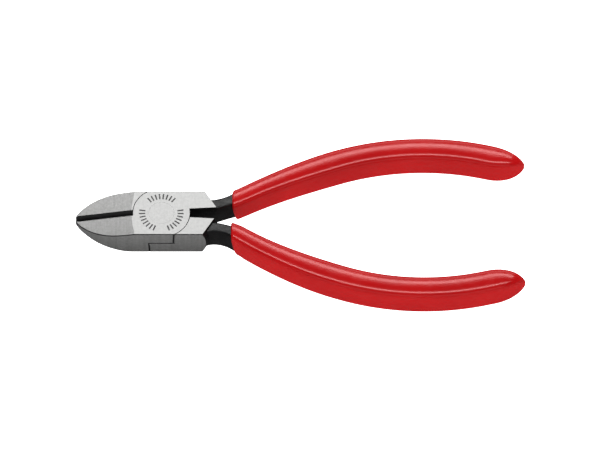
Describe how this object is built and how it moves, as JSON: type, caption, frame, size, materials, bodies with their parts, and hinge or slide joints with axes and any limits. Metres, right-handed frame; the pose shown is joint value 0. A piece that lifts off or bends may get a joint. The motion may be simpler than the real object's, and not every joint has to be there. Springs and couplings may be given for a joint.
{
  "type": "diagonal cutting pliers",
  "caption": "Small diagonal cutting pliers with a ground lap-joint head and bowed handles dipped in glossy plastic.",
  "frame": {"origin": "on the joint axis, at the head's ground rear face", "axes": "+X towards the handles' ends, +Y towards the front half's handle, +Z along the joint axis, out of the head's front face"},
  "size_m": [0.1247, 0.0525, 0.0096],
  "materials": {
    "forged_steel": "ground faces on the head, black oxide elsewhere",
    "rivet_steel": "ground flush with the head",
    "grip_plastic": "thick dipped coating, glossy"
  },
  "bodies": {
    "rear": {"rear_half": "forged_steel", "joint_rivet": "rivet_steel", "lower_grip": "grip_plastic"},
    "front": {"front_half": "forged_steel", "upper_grip": "grip_plastic"}
  },
  "joints": [
    {"name": "joint_hinge", "type": "hinge", "parent": "rear", "child": "front", "pos_m": [0, 0, 0.00453], "axis": [0, 0, 1], "range_deg": [0, 45]}
  ]
}
